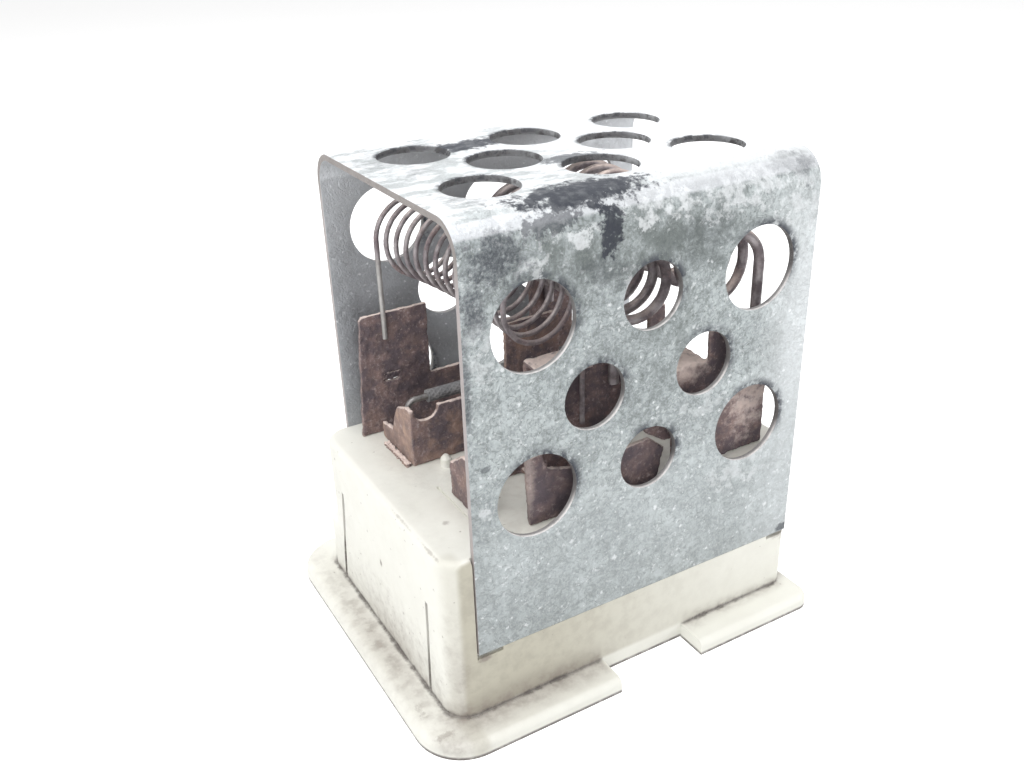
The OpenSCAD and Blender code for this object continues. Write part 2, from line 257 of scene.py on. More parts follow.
scaleShape = {  # noise values where each coat of the rust starts and is full, and their shares
    "wide": {"Detail": 8.0, "Roughness": 0.65},
    "small": {"Detail": 6.0, "Roughness": 0.75},
    "smaller": 5.0, "pitted": 3.0,
    "ruddy": (0.42, 0.64), "pale": (0.72, 0.9), "paleShare": 0.8, "broadShare": 0.4,
    "roughness": (0.3, 0.7, 0.78, 0.98),
    "fineHeight": 0.6, "broadHeight": 0.8, "pitDepth": 0.35,
}


def makeRustScale():
    # flaking rust: dark scale, ruddy bloom and pale dust, with its height
    group, given, out = makeGroup("rustScale", [
        ("Dark", "Color", (0.05, 0.03, 0.03, 1)), ("Ruddy", "Color", (0.2, 0.1, 0.06, 1)),
        ("Pale", "Color", (0.4, 0.3, 0.24, 1)), ("Scale", "Float", 300.0)],
        [("Color", "Color"), ("Roughness", "Float"), ("Height", "Float")])
    place = objectPlace(group)
    wide = add(group, "TexNoise", Vector=place, Scale=given["Scale"], **scaleShape["wide"])
    finer = product(group, given["Scale"], scaleShape["smaller"])
    small = add(group, "TexNoise", Vector=place, Scale=finer, **scaleShape["small"])
    broad, fine = wide.outputs["Fac"], small.outputs["Fac"]
    pits = add(group, "TexVoronoi", feature="SMOOTH_F1", Vector=place,
               Scale=product(group, given["Scale"], scaleShape["pitted"])).outputs["Distance"]
    base = blend(group, ramp(group, broad, *scaleShape["ruddy"]), given["Dark"], given["Ruddy"])
    both = calc(group, "ADD", fine, product(group, broad, scaleShape["broadShare"]))
    dusty = ramp(group, both, *scaleShape["pale"])
    color = layer(group, base, given["Pale"], dusty, scaleShape["paleShare"])
    crust = calc(group, "ADD", product(group, fine, scaleShape["fineHeight"]),
                 product(group, broad, scaleShape["broadHeight"]))
    height = calc(group, "SUBTRACT", crust, product(group, pits, scaleShape["pitDepth"]))
    feed(group, color, out["Color"])
    feed(group, ramp(group, fine, *scaleShape["roughness"]), out["Roughness"])
    feed(group, height, out["Height"])
    return group


patches, specks, stain = makePatches(), makeSpecks(), makeStain()
holeRim, rustScale = makeRim(), makeRustScale()


def startMaterial(name, **settings):
    material = bpy.data.materials.new(name)
    material.use_nodes = True
    tree = material.node_tree
    shader = tree.nodes["Principled BSDF"]
    for key, value in settings.items():
        shader.inputs[key.replace("_", " ")].default_value = value
    return material, tree, shader


def finishMaterial(tree, shader, color, roughness, height, bump, metallic=None):
    feed(tree, color, shader.inputs["Base Color"])
    feed(tree, roughness, shader.inputs["Roughness"])
    if metallic is not None:
        feed(tree, metallic, shader.inputs["Metallic"])
    relief = add(tree, "Bump", Strength=bump["strength"], Distance=bump["depth"], Height=height)
    feed(tree, relief.outputs[0], shader.inputs["Normal"])


def patch(tree, values):
    return use(tree, patches, **values)["Mask"]


def speckle(tree, values):
    return use(tree, specks, **values)["Mask"]


def cloudNoise(tree, scale, detail=6.0, roughness=0.7, distortion=0.0):
    noise = add(tree, "TexNoise", Vector=objectPlace(tree), Scale=scale, Detail=detail,
                Roughness=roughness, Distortion=distortion)
    return noise.outputs["Fac"]


def stainAll(tree, noise, places, inner=0.7):
    # strongest of several stains: centre and reach in millimetres, strength, raggedness
    result = 0.0
    for centre, reach, amount, ragged in places:
        spot = use(tree, stain, centre=inMetres(centre), reach=inMetres(reach), noise=noise,
                   ragged=ragged, inner=inner)
        result = strongest(tree, result, product(tree, spot["Mask"], amount))
    return result


sheetHoles = {  # the cage's holes and the dirt round them, in millimetres
    "pitch": 19.35, "frontRow": 50.6, "rowPitch": 12.9, "topPitch": 10.4,
    "large": 6.5, "small": 5.05, "top": 5.55, "front": -23.5, "height": 79.2,
    "wallDirt": 1.7, "topDirt": 0.9, "wallOnly": (75, 74), "topOnly": (78, 78.8),
    "wallSide": (0.6, 0.0, 0.8), "topSide": (-0.2, 0.98, 0.0), "acrossTop": (1.0, 1.0, 0.0),
}


def rimDirt(tree, z):
    front, top = [], []
    for row in (-1, 1):
        for i in (-1, 0, 1):
            radius = sheetHoles["small"] if i == 0 else sheetHoles["large"]
            height = sheetHoles["frontRow"] + row * sheetHoles["rowPitch"]
            front.append((i * sheetHoles["pitch"], height, radius))
            top.append((i * sheetHoles["pitch"], row * sheetHoles["topPitch"]))
    for i in (-0.5, 0.5):
        front.append((i * sheetHoles["pitch"], sheetHoles["frontRow"], sheetHoles["small"]))
        top.append((i * sheetHoles["pitch"], 0.0))
    wall, over = 0.0, 0.0
    for x, height, radius in front:
        rim = use(tree, holeRim, centre=inMetres((x, sheetHoles["front"], height)), radius=radius * mm,
                  side=sheetHoles["wallSide"], reach=sheetHoles["wallDirt"] * mm)
        wall = strongest(tree, wall, rim["Mask"])
    for x, y in top:
        rim = use(tree, holeRim, centre=inMetres((x, y, sheetHoles["height"])),
                  radius=sheetHoles["top"] * mm, flat=sheetHoles["acrossTop"],
                  side=sheetHoles["topSide"], reach=sheetHoles["topDirt"] * mm)
        over = strongest(tree, over, rim["Mask"])
    return strongest(tree, product(tree, wall, fade(tree, z, sheetHoles["wallOnly"])),
                     product(tree, over, fade(tree, z, sheetHoles["topOnly"])))


zinc = {
    "base": (0.405, 0.44, 0.447),
    "shade": (0.19, 0.212, 0.216),
    "green": (0.098, 0.114, 0.108),
    "inside": (0.42, 0.43, 0.46),
    "pale": (0.56, 0.60, 0.605),
    "even": (0.465, 0.495, 0.505),
    "bloomAndPaintedLight": (0.80, 0.82, 0.84),
    "oil": (0.045, 0.050, 0.063),
    "cutPaintedLight": (0.85, 0.82, 0.81),
    "cutWorn": (0.135, 0.126, 0.124),
    "cutDark": (0.085, 0.082, 0.085),
    "edgeLine": (0.46, 0.41, 0.405),
    "edgeBend": (0.23, 0.21, 0.195),
    # patterns: their scale and the noise values between which they come up
    "ragged": {"scale": 620.0},
    "marble": {"scale": 380.0, "detail": 8.0, "roughness": 0.7, "distortion": 1.4},
    "swirl": {"scale": 300.0, "detail": 5.0, "roughness": 0.6, "distortion": 1.6},
    "cloud": {"scale": 110.0, "low": 0.36, "high": 0.66, "detail": 6.0},
    "mottle": {"scale": 560.0, "low": 0.38, "high": 0.64, "detail": 9.0},
    "grain": {"scale": 2300.0, "low": 0.36, "high": 0.66, "detail": 4.0},
    "pepper": {"scale": 1500.0, "low": 0.52, "high": 0.66, "detail": 7.0, "shift": (0.3, 0.1, 0.2)},
    "patchy": {"scale": 330.0, "low": 0.36, "high": 0.6, "detail": 9.0, "stretch": (1.0, 1.0, 0.7)},
    "dust": {"scale": 1250.0, "low": 0.58, "high": 0.68, "detail": 6.0, "shift": (0.2, 0.7, 0.4)},
    "crumbly": {"scale": 520.0, "low": 0.42, "high": 0.58, "detail": 9.0},
    "smudge": {"scale": 260.0, "low": 0.34, "high": 0.56, "detail": 10.0, "stretch": (0.6, 1.3, 1.0)},
    "smallSpots": {"scale": 1250.0, "size": 0.34, "share": 0.09},
    "largeSpots": {"scale": 520.0, "size": 0.22, "share": 0.055},
    "spans": {  # from and to in millimetres and, where they aren't 0 and 1, the results there
        "rightEdge": (17, 29),
        "rightTop": (84, 60),
        "rightFoot": (20, 45, 0.5, 1.0),
        "lower": (50, 28),
        "betweenWalls": (22.9, 22.6),
        "underTop": (78.6, 78.3),
        "innerHeight": (50, 75),
        "top": (77.4, 79.15),
        "topFront": (-22, -16, 0.7, 1.0),
        "topRight": (-10, 12, 0.35, 1.0),
        "wallOnly": (74.4, 73.9),
        "outerFace": (-22.95, -23.3, 0.25, 1.0),
        "topOnly": (77.9, 78.3),
        "flatTop": (19.2, 18.4),
        "ends": (29.7, 29.9),
        "bend": (70, 75),
    },
    "steps": {  # the same for noise values and for the parts of the normal
        "veins": (0.03, 0.0),
        "marbleLight": (0.52, 0.66),
        "marbleDark": (0.47, 0.34),
        "cloudTops": (0.55, 1.0),
        "edgeOn": (0.7, 0.3),
        "facingUp": (0.1, 0.6),
        "facingEnd": (0.6, 0.85),
        "brightNoise": (0.3, 0.5, 0.4, 1.0),
        "rimNoise": (0.4, 0.56, 0.15, 1.0),
        "topCutNoise": (0.35, 0.6, 1.0, 0.55),
    },
    "varied": {  # results where a mask is 0 and 1
        "patchy": (0.25, 0.8),
        "dust": (0.25, 0.5),
        "speckled": (1.0, 0.4),
        "worn": (1.0, 0.88),
        "sooty": (1.0, 0.7),
        "roughness": (0.52, 0.66),
    },
    "amounts": {
        "cloud": 0.35, "mottle": 0.65, "marble": 0.45, "grain": 0.36, "cloudTops": 0.35,
        "pepper": 0.5, "veins": 0.8, "rightEdge": 0.45, "lower": 0.32, "inside": 0.7,
        "innerHeight": 0.35, "smallSpots": 0.65, "largeSpots": 0.6, "top": 0.95,
        "wallCut": 0.9, "endCut": 0.8, "endBend": 0.75, "oilRoughness": 0.2,
        "metal": 0.55, "dulled": 0.5, "mottleHeight": 0.5, "grainHeight": 0.3, "crustHeight": 0.5,
    },
    "bump": {"strength": 0.6, "depth": 0.14 * mm},
    "solid": {"mottled": 0.1, "soft": 0.15},  # how far in such a stain is solid
    "oilStains": [  # centre, reach in millimetres, strength, raggedness
        ((-9.5, -19.3, 78.8), (11.0, 3.6, 2.4), 1.0, 2.5),
        ((-7.2, -23.5, 75.4), (1.7, 2.4, 4.6), 1.0, 3.8),
        ((-15.5, -22.5, 76.8), (5.0, 2.0, 1.6), 0.7, 4.5),
        ((-2.0, -4.8, 79.2), (5.0, 2.2, 1.5), 0.8, 3.4),
        ((-10.4, 11.0, 79.2), (7.0, 3.0, 1.5), 1.0, 2.4),
        ((-27.5, -23.5, 44.7), (0.8, 1.0, 0.5), 0.5, 2.5),
        ((29.3, -23.5, 14.4), (1.6, 1.0, 0.9), 0.75, 2.0),
    ],
    "softStains": [
        ((-25.0, -23.5, 73.4), (6.2, 2.5, 4.6), 0.85, 3.2),
        ((-28.2, -23.5, 68.4), (2.6, 2.5, 5.6), 0.8, 3.2),
        ((-9.0, -23.5, 68.5), (6.0, 2.5, 4.0), 0.35, 4.0),
        ((9.0, -23.5, 70.6), (9.0, 2.5, 4.0), 0.2, 4.0),
        ((27.0, -22.5, 77.6), (2.6, 3.0, 3.6), 0.5, 4.0),
        ((-24.0, 0.4, 79.2), (2.5, 3.0, 1.5), 0.4, 4.0),
        ((-18.7, -9.1, 79.2), (3.5, 2.0, 1.5), 0.4, 4.0),
        ((-29.6, -23.5, 57.0), (0.8, 1.0, 9.5), 0.7, 2.0),
        ((24.8, -22.0, 78.3), (4.0, 3.0, 2.0), 0.3, 4.0),
        ((-22.0, -14.0, 79.2), (7.0, 4.0, 1.5), 0.35, 5.0),
        ((-26.0, 9.0, 79.2), (5.0, 9.0, 1.5), 0.25, 5.0),
    ],
    "mottled": [  # where the green mottling is strong
        ((2.0, -23.5, 71.0), (22.0, 3.5, 8.5), 1.0, 1.4),
        ((18.0, -23.5, 70.0), (12.0, 3.5, 7.0), 0.32, 1.4),
        ((-14.0, -23.5, 71.0), (16.0, 3.5, 7.5), 1.0, 1.4),
        ((2.0, -23.5, 58.0), (9.0, 3.5, 10.0), 0.7, 1.6),
        ((19.0, -23.5, 28.5), (9.5, 3.5, 5.5), 0.55, 2.0),
        ((24.0, -23.5, 50.0), (6.0, 3.5, 5.0), 0.3, 2.0),
    ],
    "whitened": [  # where white corrosion lies
        ((-22.0, -22.6, 77.4), (7.0, 2.6, 1.6), 0.5, 4.5),
        ((-13.0, -23.5, 74.3), (4.2, 2.0, 1.5), 0.6, 4.5),
        ((0.5, -22.8, 76.2), (5.5, 3.0, 2.6), 0.6, 4.5),
        ((17.0, -22.6, 75.6), (14.0, 3.2, 2.6), 0.5, 4.5),
        ((26.0, -23.5, 71.5), (5.0, 2.4, 4.5), 0.35, 4.0),
        ((-19.5, -23.5, 71.5), (2.5, 2.0, 1.5), 0.5, 4.0),
        ((-27.2, -23.5, 62.0), (2.5, 2.0, 4.5), 0.3, 4.0),
        ((-3.5, -23.5, 64.5), (1.8, 2.0, 4.0), 0.45, 4.5),
        ((-28.0, -23.5, 36.5), (1.6, 2.0, 2.2), 0.5, 3.6),
        ((8.5, -23.5, 43.5), (4.5, 2.0, 2.6), 0.25, 3.6),
        ((18.6, -23.5, 29.3), (6.0, 2.0, 3.5), 0.3, 5.0),
    ],
}


def makeZinc():
    material, tree, shader = startMaterial("agedZinc")
    spans, steps, varied, amounts = zinc["spans"], zinc["steps"], zinc["varied"], zinc["amounts"]
    x, y, z = splitAxes(tree, objectPlace(tree))
    awayX, awayY = (calc(tree, "ABSOLUTE", part) for part in (x, y))
    normal = splitAxes(tree, add(tree, "NewGeometry").outputs["Normal"])
    nx, ny, nz = (calc(tree, "ABSOLUTE", part) for part in normal)
    noise = cloudNoise(tree, **zinc["ragged"])
    # spangled sheet: clouds, mottling, grain, pepper and thin dark veins
    cloud, mottle = patch(tree, zinc["cloud"]), patch(tree, zinc["mottle"])
    grain, pepper = patch(tree, zinc["grain"]), patch(tree, zinc["pepper"])
    marble, swirl = cloudNoise(tree, **zinc["marble"]), cloudNoise(tree, **zinc["swirl"])
    veins = ramp(tree, calc(tree, "ABSOLUTE", calc(tree, "SUBTRACT", swirl, 0.5)), *steps["veins"])
    depth = calc(tree, "ADD", product(tree, cloud, amounts["cloud"]),
                 product(tree, mottle, amounts["mottle"]))
    color = blend(tree, depth, zinc["shade"], zinc["base"])
    for over, step in ((zinc["pale"], "marbleLight"), (zinc["green"], "marbleDark")):
        color = layer(tree, color, over, ramp(tree, marble, *steps[step]), amounts["marble"])
    color = layer(tree, color, zinc["pale"], grain, amounts["grain"])
    cloudTops = ramp(tree, cloud, *steps["cloudTops"])
    color = layer(tree, color, zinc["pale"], cloudTops, mottle, amounts["cloudTops"])
    dark = strongest(tree, product(tree, pepper, amounts["pepper"]),
                     product(tree, veins, grain, amounts["veins"]))
    color = blend(tree, dark, color, zinc["green"])
    zone = stainAll(tree, noise, zinc["mottled"], zinc["solid"]["mottled"])
    patchy = vary(tree, patch(tree, zinc["patchy"]), varied["patchy"])
    color = layer(tree, color, zinc["green"], zone, patchy)
    # lighter towards the right edge, painted light there, evener low down, greyer inside, and painted
    # light high up inside
    lit = product(tree, fade(tree, x, spans["rightEdge"]), fade(tree, z, spans["rightTop"]),
                  fade(tree, z, spans["rightFoot"]))
    color = layer(tree, color, zinc["bloomAndPaintedLight"], lit, amounts["rightEdge"])
    color = layer(tree, color, zinc["even"], fade(tree, z, spans["lower"]), amounts["lower"])
    within = product(tree, fade(tree, awayY, spans["betweenWalls"]), fade(tree, z, spans["underTop"]))
    color = layer(tree, color, zinc["inside"], within, amounts["inside"])
    innerHeight = fade(tree, z, spans["innerHeight"])
    color = layer(tree, color, zinc["bloomAndPaintedLight"], within, innerHeight, amounts["innerHeight"])
    # white corrosion: dust and specks all over, patches at places and nearly all of the top, whose
    # paleness there is also painted light from above
    dust = product(tree, patch(tree, zinc["dust"]), vary(tree, cloud, varied["dust"]))
    specky = strongest(tree, product(tree, speckle(tree, zinc["smallSpots"]), amounts["smallSpots"]),
                       product(tree, speckle(tree, zinc["largeSpots"]), amounts["largeSpots"]), dust)
    specky = product(tree, specky, vary(tree, zone, varied["speckled"]))
    placed = product(tree, stainAll(tree, noise, zinc["whitened"]), patch(tree, zinc["crumbly"]))
    high = product(tree, fade(tree, z, spans["top"]), fade(tree, y, spans["topFront"]))
    covered = strongest(tree, patch(tree, zinc["smudge"]), fade(tree, x, spans["topRight"]))
    white = strongest(tree, specky, placed, product(tree, high, covered, amounts["top"]))
    color = blend(tree, white, color, zinc["bloomAndPaintedLight"])
    # oil and soot
    oily = product(tree, stainAll(tree, noise, zinc["oilStains"]), vary(tree, mottle, varied["worn"]))
    sooty = product(tree, stainAll(tree, noise, zinc["softStains"], zinc["solid"]["soft"]),
                    vary(tree, grain, varied["sooty"]))
    holeDirt = product(tree, rimDirt(tree, z), ramp(tree, noise, *steps["rimNoise"]))
    color = blend(tree, strongest(tree, oily, sooty, holeDirt), color, zinc["oil"])
    # cut edges of the sheet: painted light where they face up, else worn, and dark in the top
    wallCut = product(tree, ramp(tree, ny, *steps["edgeOn"]), fade(tree, z, spans["wallOnly"]))
    bright = product(tree, ramp(tree, normal[2], *steps["facingUp"]),
                     ramp(tree, noise, *steps["brightNoise"]), fade(tree, y, spans["outerFace"]))
    cutColor = blend(tree, bright, zinc["cutWorn"], zinc["cutPaintedLight"])
    color = layer(tree, color, cutColor, wallCut, amounts["wallCut"])
    topCut = product(tree, ramp(tree, nz, *steps["edgeOn"]), fade(tree, z, spans["topOnly"]),
                     fade(tree, awayY, spans["flatTop"]))
    color = layer(tree, color, zinc["cutDark"], topCut, ramp(tree, noise, *steps["topCutNoise"]))
    endCut = product(tree, ramp(tree, nx, *steps["facingEnd"]), fade(tree, awayX, spans["ends"]))
    color = layer(tree, color, zinc["edgeLine"], endCut, amounts["endCut"])
    bend = fade(tree, z, spans["bend"])
    color = layer(tree, color, zinc["edgeBend"], endCut, bend, amounts["endBend"])
    roughness = calc(tree, "ADD", vary(tree, mottle, varied["roughness"]),
                     product(tree, oily, amounts["oilRoughness"]))
    dulled = product(tree, strongest(tree, white, wallCut), amounts["dulled"])
    metallic = calc(tree, "SUBTRACT", amounts["metal"], dulled)
    height = calc(tree, "ADD", product(tree, mottle, amounts["mottleHeight"]),
                  product(tree, grain, amounts["grainHeight"]))
    crusted = product(tree, calc(tree, "SUBTRACT", white, veins), amounts["crustHeight"])
    height = calc(tree, "ADD", height, crusted)
    finishMaterial(tree, shader, color, roughness, height, zinc["bump"], metallic)
    return material


plastic = {
    "fresh": (0.775, 0.77, 0.712),
    "yellowed": (0.45, 0.428, 0.345),
    "grimeAndShade": (0.24, 0.205, 0.18),
    "darkLines": (0.10, 0.085, 0.078),
    "dusty": (0.50, 0.46, 0.41),
    "middle": (-1.8, 1.8),  # centre of the foot, its half sizes and corner radius, in millimetres
    "half": (32.8, 25.3),
    "corner": 3.6,
    "flangeTop": 2.6,
    "ragged": {"scale": 520.0},
    "broad": {"scale": 75.0, "low": 0.35, "high": 0.65, "detail": 6.0},
    "fine": {"scale": 460.0, "low": 0.35, "high": 0.7, "detail": 8.0},
    "flecks": {"scale": 640.0, "size": 0.14, "share": 0.16},
    "spans": {  # from and to in millimetres
        "notch": (7.6, 8.8),
        "leftward": (27, -27),
        "frontWall": (-22.8, -23.3),
        "overFlange": (2.4, 3.4),
        "bandLeft": (-35, -33.6),
        "bandRight": (-31, -32.4),
        "bandFront": (-19, -21),
        "frontward": (-16, -26),
        "darkLines": (0.75, 0.1),
        "under": (0.7, 0.25),
        "endWall": (-33, -33.6),
        "slitSide": (0.5, 0.26),
        "underCage": (-31, -22),
        "deck": (30, 30.5),
    },
    "grimeReach": 2.4,
    "grimeWider": 4.2,
    "jagged": 1.2,
    "slitEnd": 0.3,
    "slitFoot": (0.1, 0.4),
    "steps": {  # noise values and, where they aren't 0 and 1, the results there
        "darkLines": (0.4, 0.58, 0.85, 0.55),
        "under": (0.35, 0.55, 0.6, 0.95),
        "slits": (0.35, 0.55, 0.5, 0.85),
        "sideways": (0.8, 0.5),
    },
    "varied": {  # results where a mask is 0 and 1
        "dirty": (0.22, 0.5),
        "shades": (0.6, 1.0),
        "covered": (0.08, 0.3),
        "roughness": (0.45, 0.62),
    },
    "amounts": {
        "broad": 0.1, "soiled": 0.1, "soiledLeft": 0.85, "band": 0.35, "fineGrime": 0.35,
        "smear": 0.3, "flecks": 0.55, "fineHeight": 0.4, "fleckDepth": 0.8,
    },
    "bump": {"strength": 0.35, "depth": 0.1 * mm},
    "solid": {"shades": -0.2, "marks": 0.3},  # how far in such a stain is solid
    "slits": [  # Y at the foot, Y at the top, height of each slit in millimetres
        (-15.2, -16.2, 20.4),
        (19.3, 16.2, 21.9),
    ],
    "marks": [  # centre, reach in millimetres, strength, raggedness
        ((-34.6, 1.0, 16.9), (1.0, 0.55, 0.9), 1.0, 1.2),
        ((-36.9, -24.8, 2.6), (1.6, 0.7, 1.0), 0.45, 5.0),
        ((-38.0, -18.0, 2.4), (0.7, 1.8, 0.9), 0.35, 5.0),
        ((-34.2, -17.5, 30.5), (0.3, 3.4, 0.3), 0.45, 3.4),
        ((-34.2, -8.5, 30.5), (0.3, 4.4, 0.3), 0.4, 3.4),
        ((-29.0, -13.0, 30.7), (0.8, 0.6, 0.9), 0.5, 3.0),
        ((29.0, -23.2, 13.0), (1.6, 1.2, 1.2), 0.5, 4.0),
        ((-28.5, -23.2, 12.6), (1.6, 1.2, 0.5), 0.8, 3.0),
    ],
    "shades": [
        ((-31.8, -6.0, 30.7), (2.4, 16.0, 0.9), 0.12, 2.0),
        ((-27.5, 6.0, 30.7), (3.4, 11.0, 1.2), 0.25, 2.0),
        ((-33.5, -23.2, 10.0), (3.4, 3.2, 15.0), 0.7, 1.4),
        ((-33.0, -22.0, 24.0), (1.6, 3.0, 8.0), 0.12, 3.0),
        ((-34.6, -4.0, 2.0), (2.0, 28.0, 12.0), 0.72, 1.4),
        ((-18.0, -26.0, 2.6), (20.0, 4.0, 2.6), 0.28, 0.8),
        ((-37.0, 0.0, 2.6), (4.2, 40.0, 2.8), 0.85, 0.6),
        ((-36.0, -27.0, 2.4), (7.0, 6.0, 3.0), 0.75, 0.8),
    ],
}


def farFromFoot(tree, x, y, z):
    # distance from the line where the block, a rounded oblong, meets the flange
    parts = []
    for value, middle, half in zip((x, y), plastic["middle"], plastic["half"]):
        away = calc(tree, "ABSOLUTE", calc(tree, "SUBTRACT", value, middle * mm))
        beyond = calc(tree, "SUBTRACT", away, (half - plastic["corner"]) * mm)
        parts.append(calc(tree, "MAXIMUM", beyond, 0.0))
    squares = [product(tree, part, part) for part in parts]
    out = calc(tree, "SUBTRACT", calc(tree, "SQRT", calc(tree, "ADD", *squares)), plastic["corner"] * mm)
    up = calc(tree, "ABSOLUTE", calc(tree, "SUBTRACT", z, plastic["flangeTop"] * mm))
    return calc(tree, "SQRT", calc(tree, "ADD", product(tree, out, out), product(tree, up, up)))


def slitShade(tree, x, y, z):
    # painted shade in and beside the two slanted slits of the end wall
    foot = plastic["flangeTop"]
    result = 0.0
    for low, high, height in plastic["slits"]:
        middle = fade(tree, z, (foot, height, low * mm, high * mm))
        away = calc(tree, "ABSOLUTE", calc(tree, "SUBTRACT", y, middle))
        near = fade(tree, away, plastic["spans"]["slitSide"])
        below = fade(tree, z, (height + plastic["slitEnd"], height))
        result = strongest(tree, result, product(tree, near, below))
    above = fade(tree, z, [foot + over for over in plastic["slitFoot"]])
    return product(tree, result, above, fade(tree, x, plastic["spans"]["endWall"]))


def makePlastic():
    material, tree, shader = startMaterial("agedPlastic", IOR=1.49)
    spans, steps, varied, amounts = (plastic[key] for key in ("spans", "steps", "varied", "amounts"))
    x, y, z = splitAxes(tree, objectPlace(tree))
    facingUp = splitAxes(tree, add(tree, "NewGeometry").outputs["Normal"])[2]
    noise = cloudNoise(tree, **plastic["ragged"])
    broad, fine = patch(tree, plastic["broad"]), patch(tree, plastic["fine"])
    far = farFromFoot(tree, x, y, z)
    notch = fade(tree, calc(tree, "ABSOLUTE", x), spans["notch"])
    leftward = fade(tree, x, spans["leftward"])
    # yellowed all over a little, and most on the front wall and the corner beside the cage
    color = blend(tree, product(tree, broad, amounts["broad"]), plastic["fresh"], plastic["yellowed"])
    sided = calc(tree, "ADD", amounts["soiled"], product(tree, leftward, amounts["soiledLeft"]))
    soiled = product(tree, fade(tree, y, spans["frontWall"]), fade(tree, z, spans["overFlange"]), sided)
    color = blend(tree, soiled, color, plastic["yellowed"])
    band = product(tree, fade(tree, x, spans["bandLeft"]), fade(tree, x, spans["bandRight"]),
                   fade(tree, y, spans["bandFront"]))
    color = layer(tree, color, plastic["yellowed"], band, amounts["band"])
    # grime that fades from the corner line over flange and walls, most at the front left, and painted
    # shade at the listed places
    dirty = product(tree, fade(tree, y, spans["frontward"]), leftward)
    wider = product(tree, dirty, plastic["grimeWider"] * mm)
    reach = calc(tree, "ADD", plastic["grimeReach"] * mm, wider)
    strength = calc(tree, "ADD", vary(tree, dirty, varied["dirty"]),
                    product(tree, fine, amounts["fineGrime"]))
    fading = product(tree, ramp(tree, far, reach, 0.0), strength, notch)
    smear = product(tree, soiled, fine, amounts["smear"])
    # painted shade at the listed places on the deck, the end wall, the corner and the flange
    shades = product(tree, stainAll(tree, noise, plastic["shades"], plastic["solid"]["shades"]),
                     vary(tree, fine, varied["shades"]))
    color = blend(tree, strongest(tree, fading, smear, shades), color, plastic["grimeAndShade"])
    # dark lines: the corner line, the flange's lower rim, and painted shade in the slits
    ragged = product(tree, calc(tree, "SUBTRACT", noise, 0.5), plastic["jagged"] * mm)
    darkLines = product(tree, fade(tree, calc(tree, "ADD", far, ragged), spans["darkLines"]), notch,
                   ramp(tree, noise, *steps["darkLines"]))
    sideways = ramp(tree, calc(tree, "ABSOLUTE", facingUp), *steps["sideways"])
    under = product(tree, fade(tree, z, spans["under"]), ramp(tree, noise, *steps["under"]), sideways)
    slits = product(tree, slitShade(tree, x, y, z), ramp(tree, noise, *steps["slits"]))
    color = blend(tree, strongest(tree, darkLines, under, slits), color, plastic["darkLines"])
    # dust on the deck under the cage, marks and dark flecks
    covered = product(tree, fade(tree, x, spans["underCage"]), fade(tree, z, spans["deck"]), facingUp,
                      vary(tree, fine, varied["covered"]))
    color = blend(tree, covered, color, plastic["dusty"])
    marks = stainAll(tree, noise, plastic["marks"], plastic["solid"]["marks"])
    flecks = product(tree, speckle(tree, plastic["flecks"]), amounts["flecks"])
    color = blend(tree, strongest(tree, marks, flecks), color, plastic["grimeAndShade"])
    height = calc(tree, "SUBTRACT", product(tree, fine, amounts["fineHeight"]),
                  product(tree, flecks, amounts["fleckDepth"]))
    finishMaterial(tree, shader, color, vary(tree, fine, varied["roughness"]), height, plastic["bump"])
    return material


rust = {
    "dark": (0.120, 0.094, 0.106),
    "ruddy": (0.225, 0.155, 0.150),
    "pale": (0.46, 0.385, 0.37),
    "warm": (0.36, 0.24, 0.19),
    "dust": (0.79, 0.66, 0.60),
    "leftFacingLight": (0.50, 0.35, 0.27),
    "gloom": (0.060, 0.046, 0.056),
    "ragged": {"scale": 520.0},
    "bright": {"scale": 240.0, "low": 0.45, "high": 0.7, "detail": 7.0},
    "drift": {"scale": 700.0, "low": 0.2, "high": 0.5, "detail": 6.0},
    "facingLeft": (-0.4, -0.9),
    "facingUp": (0.3, 0.8),
    "sharp": (0.53, 0.6),
    "endsVaried": (0.35, 0.85),
    "edgeWearAndHighlight": 0.4,
    "solid": 0.1,  # how far in a stain is solid
    "bump": {"strength": 0.9, "depth": 0.4 * mm},
    "gloomy": [  # centre, reach in millimetres, strength, raggedness
        ((-9.0, -13.4, 47.5), (7.0, 3.0, 7.0), 0.6, 2.0),
        ((-12.0, -20.3, 36.0), (12.0, 2.5, 8.0), 0.6, 2.0),
        ((0.0, -20.3, 36.0), (7.0, 2.5, 6.0), 0.5, 2.0),
        ((-18.0, 17.8, 39.0), (5.0, 2.0, 5.0), 0.5, 2.0),
        ((-22.9, 17.6, 40.85), (2.7, 1.2, 1.3), 0.75, 1.6),
    ],
    "ashen": [
        ((22.5, -19.4, 41.0), (5.5, 2.5, 9.0), 0.62, 3.2),
        ((-19.0, -20.3, 38.0), (1.2, 2.5, 6.0), 0.5, 3.0),
        ((-27.6, -13.0, 35.0), (2.0, 4.0, 5.0), 0.4, 3.0),
        ((10.0, -18.5, 47.6), (5.5, 4.0, 2.2), 0.6, 2.4),
    ],
}


def rustCoat(tree, scale):
    return use(tree, rustScale, dark=rust["dark"], ruddy=rust["ruddy"], pale=rust["pale"], scale=scale)


